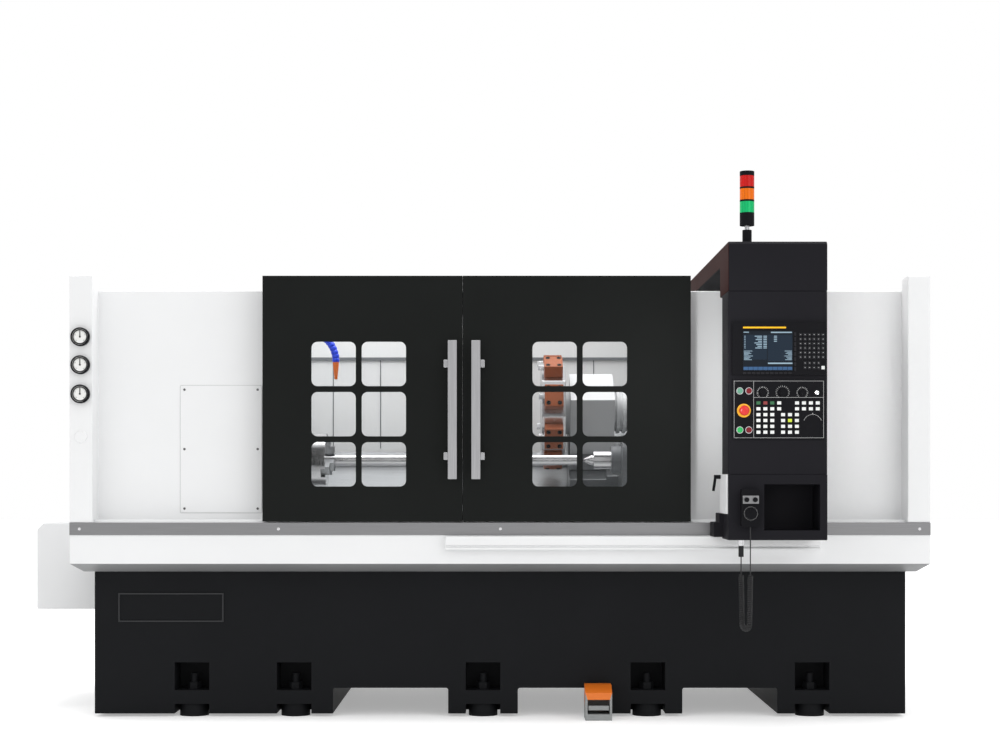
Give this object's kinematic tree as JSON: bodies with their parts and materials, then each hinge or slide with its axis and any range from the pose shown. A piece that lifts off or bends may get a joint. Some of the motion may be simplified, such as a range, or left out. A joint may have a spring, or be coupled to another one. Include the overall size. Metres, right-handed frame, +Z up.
{
  "type": "cnc turning lathe",
  "caption": "Enclosed slant-bed turning lathe with sliding windowed doors, a turret, a tailstock and an operator console on a rail.",
  "frame": {"origin": "bottom centre of the machine's box, on the floor", "axes": "+X to the right along the spindle, -Y towards the operator, +Z up"},
  "size_m": [4.055, 1.928, 2.376],
  "materials": {
    "black_paint": "satin powder coat",
    "white_paint": "satin powder coat",
    "stainless": "brushed",
    "steel": "ground",
    "cast_iron": "machined casting",
    "console_paint": "fine texture",
    "glass": "clear",
    "gauge": "gloss",
    "black_plastic": "matt",
    "red_plastic": "gloss",
    "green_plastic": "gloss",
    "blue_plastic": "gloss",
    "tool_block": "satin",
    "cord": "matt",
    "lens": "clear",
    "grey_paint": "satin"
  },
  "bodies": {
    "machine": {"base_frame": "black_paint", "levelling_feet": "cast_iron", "chip_tray": "white_paint", "trim_strip": "stainless", "console_rail": "white_paint", "left_cover": "white_paint", "right_cover": "white_paint", "rear_cover": "white_paint", "door_track": "white_paint", "access_panel": "white_paint", "pressure_gauges": "gauge", "motor_cover": "white_paint", "headstock": "cast_iron", "slant_bed": "cast_iron", "coolant_hose": "blue_plastic", "foot_switch_body": "grey_paint"},
    "left_door": {"left_door_panel": "black_paint", "left_door_windows": "glass", "left_door_handle": "stainless"},
    "right_door": {"right_door_panel": "black_paint", "right_door_windows": "glass", "right_door_handle": "stainless"},
    "spindle": {"spindle": "steel", "chuck_body": "steel", "work_shaft": "steel"},
    "jaw_1": {"chuck_jaw_1": "steel"},
    "jaw_2": {"chuck_jaw_2": "steel"},
    "jaw_3": {"chuck_jaw_3": "steel"},
    "saddle": {"saddle": "cast_iron"},
    "cross_slide": {"cross_slide": "cast_iron", "turret_body": "white_paint"},
    "turret": {"turret_disc": "steel", "tool_blocks": "tool_block"},
    "tailstock": {"tailstock_body": "cast_iron"},
    "quill": {"tailstock_quill": "steel"},
    "live_centre": {"live_centre": "steel"},
    "console": {"console_arm": "console_paint", "console_cabinet": "console_paint", "console_shelf": "console_paint", "clamp_post": "white_paint", "screen_unit": "black_plastic", "operator_panel": "black_plastic", "pendant_body": "black_plastic", "pendant_lead": "cord", "cord_curl": "cord", "socket_lead": "cord", "cord_plug": "steel", "tower_stack": "black_plastic", "tower_lenses": "lens"},
    "clamp_lever": {"clamp_lever": "black_plastic"},
    "power_on": {"power_on_button": "green_plastic"},
    "power_off": {"power_off_button": "red_plastic"},
    "cycle_start": {"cycle_start_button": "green_plastic"},
    "feed_hold": {"feed_hold_button": "red_plastic"},
    "estop": {"estop_button": "red_plastic"},
    "spindle_dial": {"spindle_override_knob": "black_plastic"},
    "feed_dial": {"feed_override_knob": "black_plastic"},
    "rapid_dial": {"rapid_override_knob": "black_plastic"},
    "pendant_wheel": {"pendant_wheel": "black_plastic"},
    "treadle": {"foot_switch_treadle": "grey_paint"}
  },
  "joints": [
    {"name": "left_door_slide", "type": "slide", "parent": "machine", "child": "left_door", "axis": [-1, 0, 0], "range_m": [0, 0.7]},
    {"name": "right_door_slide", "type": "slide", "parent": "machine", "child": "right_door", "axis": [1, 0, 0], "range_m": [0, 0.85]},
    {"name": "spindle_spin", "type": "hinge", "parent": "machine", "child": "spindle", "pos_m": [-0.7675, 0.084, 1.155], "axis": [1, 0, 0], "continuous": true},
    {"name": "jaw_1_slide", "type": "slide", "parent": "spindle", "child": "jaw_1", "axis": [0, 0, 1], "range_m": [0, 0.012]},
    {"name": "jaw_2_slide", "type": "slide", "parent": "spindle", "child": "jaw_2", "axis": [0, -0.866, -0.5], "range_m": [0, 0.012]},
    {"name": "jaw_3_slide", "type": "slide", "parent": "spindle", "child": "jaw_3", "axis": [0, 0.866, -0.5], "range_m": [0, 0.012]},
    {"name": "saddle_slide", "type": "slide", "parent": "machine", "child": "saddle", "axis": [1, 0, 0], "range_m": [-0.85, 0.45]},
    {"name": "cross_slide_feed", "type": "slide", "parent": "saddle", "child": "cross_slide", "axis": [0, -0.866, -0.5], "range_m": [-0.06, 0.14]},
    {"name": "turret_index", "type": "hinge", "parent": "cross_slide", "child": "turret", "pos_m": [0.3925, 0.50316, 1.397], "axis": [1, 0, 0], "continuous": true},
    {"name": "tailstock_slide", "type": "slide", "parent": "machine", "child": "tailstock", "axis": [1, 0, 0], "range_m": [0, 0.42]},
    {"name": "quill_slide", "type": "slide", "parent": "tailstock", "child": "quill", "axis": [1, 0, 0], "range_m": [0, 0.1]},
    {"name": "live_centre_spin", "type": "hinge", "parent": "quill", "child": "live_centre", "pos_m": [0.5625, 0.084, 1.155], "axis": [1, 0, 0], "continuous": true},
    {"name": "console_slide", "type": "slide", "parent": "machine", "child": "console", "axis": [-1, 0, 0], "range_m": [0, 1.1]},
    {"name": "clamp_lever_turn", "type": "hinge", "parent": "console", "child": "clamp_lever", "pos_m": [1.0775, -0.676, 1.074], "axis": [-1, 0, 0], "range_deg": [0, 80]},
    {"name": "power_on_press", "type": "slide", "parent": "console", "child": "power_on", "axis": [0, 1, 0], "range_m": [0, 0.005], "stiffness_N_per_m": 600},
    {"name": "power_off_press", "type": "slide", "parent": "console", "child": "power_off", "axis": [0, 1, 0], "range_m": [0, 0.005], "stiffness_N_per_m": 600},
    {"name": "cycle_start_press", "type": "slide", "parent": "console", "child": "cycle_start", "axis": [0, 1, 0], "range_m": [0, 0.005], "stiffness_N_per_m": 600},
    {"name": "feed_hold_press", "type": "slide", "parent": "console", "child": "feed_hold", "axis": [0, 1, 0], "range_m": [0, 0.005], "stiffness_N_per_m": 600},
    {"name": "estop_press", "type": "slide", "parent": "console", "child": "estop", "axis": [0, 1, 0], "range_m": [0, 0.006], "stiffness_N_per_m": 800},
    {"name": "spindle_dial_turn", "type": "hinge", "parent": "console", "child": "spindle_dial", "pos_m": [1.2425, -0.911, 1.43], "axis": [0, 1, 0], "range_deg": [-135, 135]},
    {"name": "feed_dial_turn", "type": "hinge", "parent": "console", "child": "feed_dial", "pos_m": [1.3265, -0.911, 1.43], "axis": [0, 1, 0], "range_deg": [-135, 135]},
    {"name": "rapid_dial_turn", "type": "hinge", "parent": "console", "child": "rapid_dial", "pos_m": [1.4095, -0.911, 1.43], "axis": [0, 1, 0], "range_deg": [-135, 135]},
    {"name": "pendant_wheel_turn", "type": "hinge", "parent": "console", "child": "pendant_wheel", "pos_m": [1.1875, -0.946, 0.91996], "axis": [0, 1, 0], "continuous": true},
    {"name": "treadle_press", "type": "hinge", "parent": "machine", "child": "treadle", "pos_m": [0.5675, -0.487, 0.04], "axis": [1, 0, 0], "range_deg": [0, 8], "stiffness_Nm_per_rad": 12, "springref_deg": -11.46}
  ],
  "couplings": [
    {"joint": "jaw_2_slide", "follows": "jaw_1_slide", "ratio": 1},
    {"joint": "jaw_3_slide", "follows": "jaw_1_slide", "ratio": 1}
  ]
}
